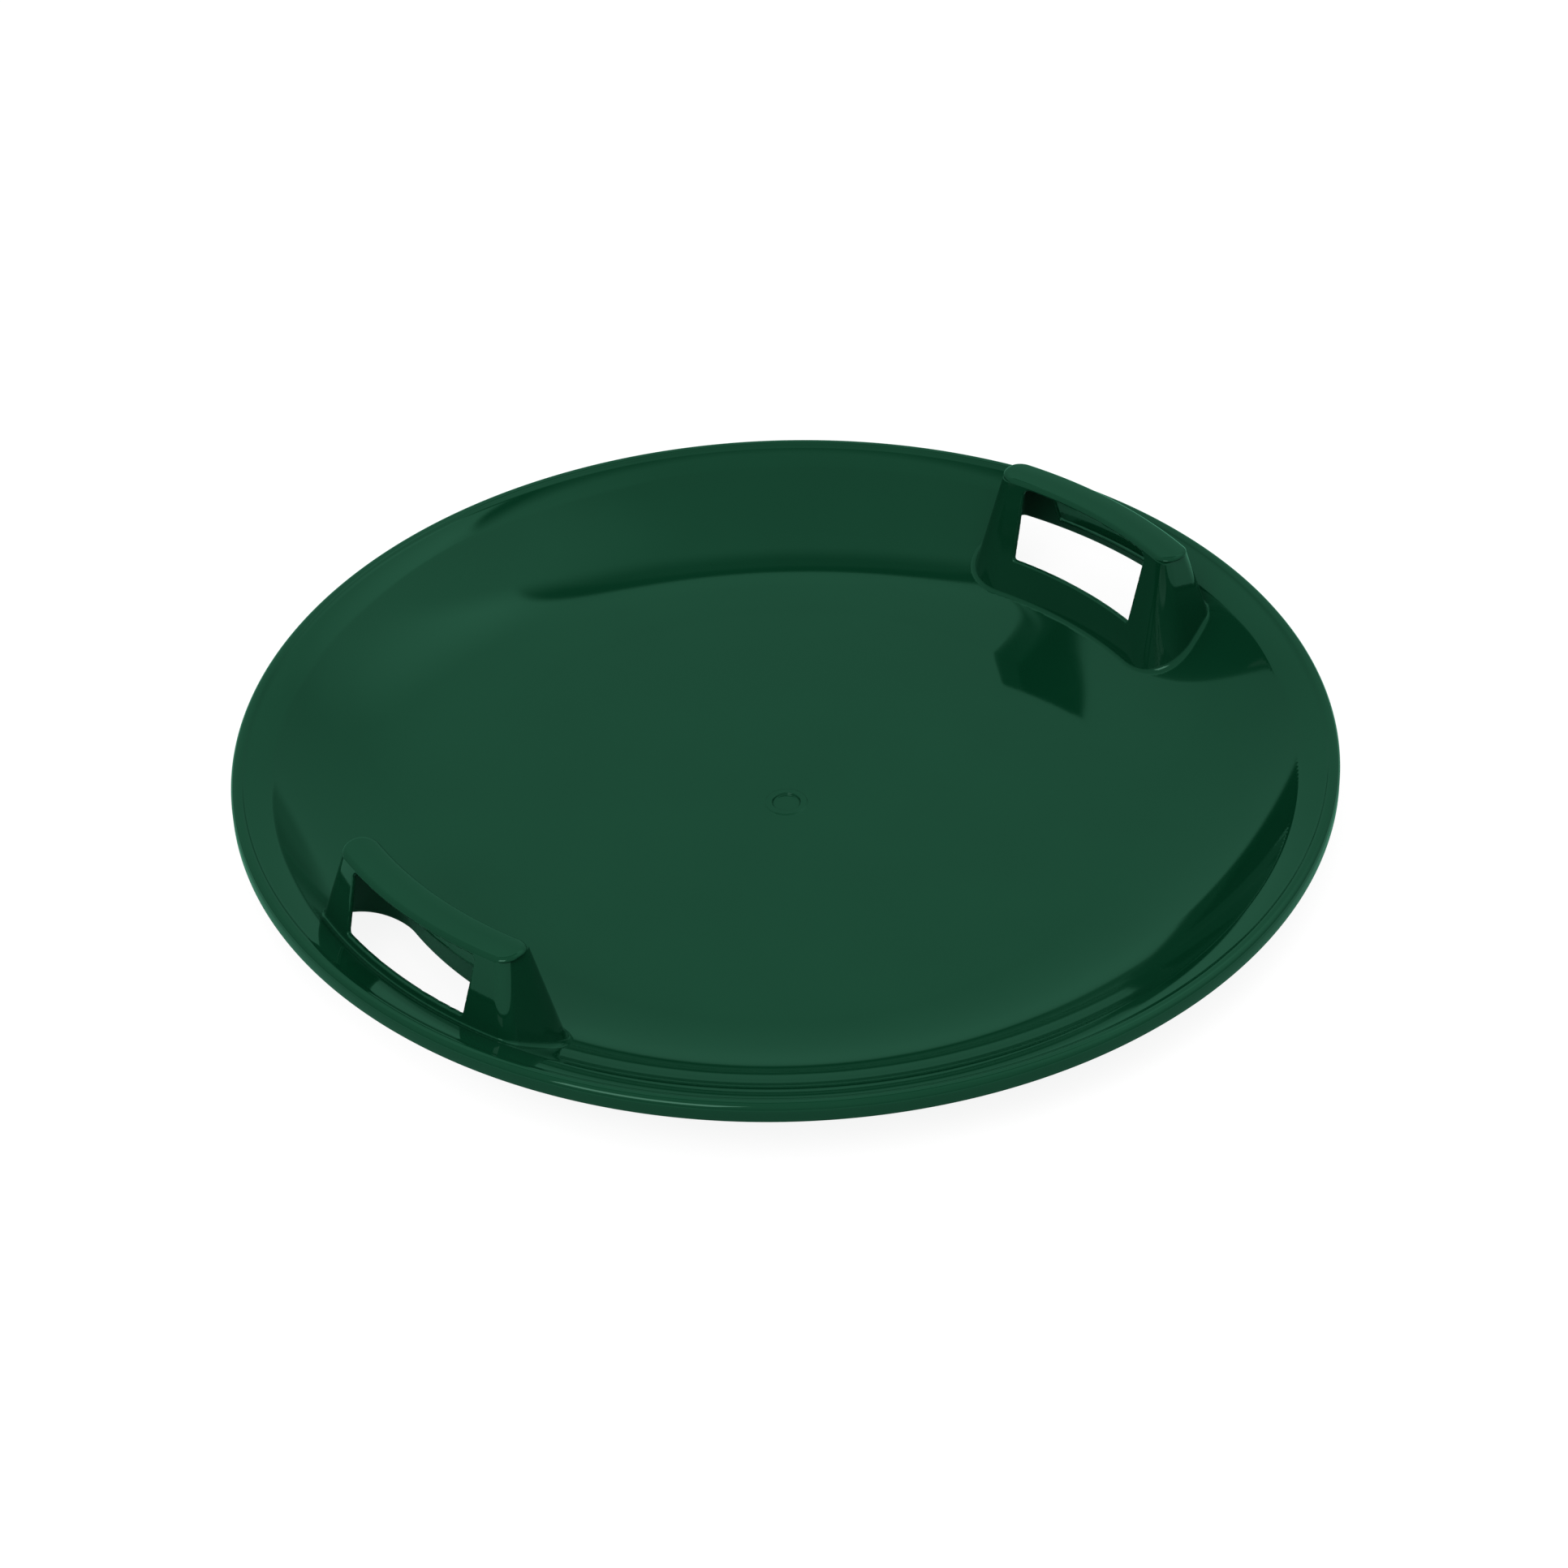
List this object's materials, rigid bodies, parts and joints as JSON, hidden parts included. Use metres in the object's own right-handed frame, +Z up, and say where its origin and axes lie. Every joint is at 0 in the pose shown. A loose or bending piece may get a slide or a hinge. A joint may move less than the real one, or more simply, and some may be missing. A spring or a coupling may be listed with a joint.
{
  "type": "saucer sled",
  "caption": "Round moulded plastic saucer sled: a shallow dish with a rolled rim and hollow raised handles on opposite sides, each with a finger window under a curved grip.",
  "frame": {"origin": "centre of the flat underside, where the sled stands on the ground", "axes": "+Z up, handles on +X and -X"},
  "size_m": [0.6349, 0.635, 0.083],
  "materials": {
    "moulding": "smooth dark green moulded plastic with a soft gloss"
  },
  "bodies": {
    "root": {"dish": "moulding", "rim": "moulding", "handle_frame_right": "moulding", "handle_frame_left": "moulding", "grip_right": "moulding", "grip_left": "moulding"}
  },
  "joints": []
}
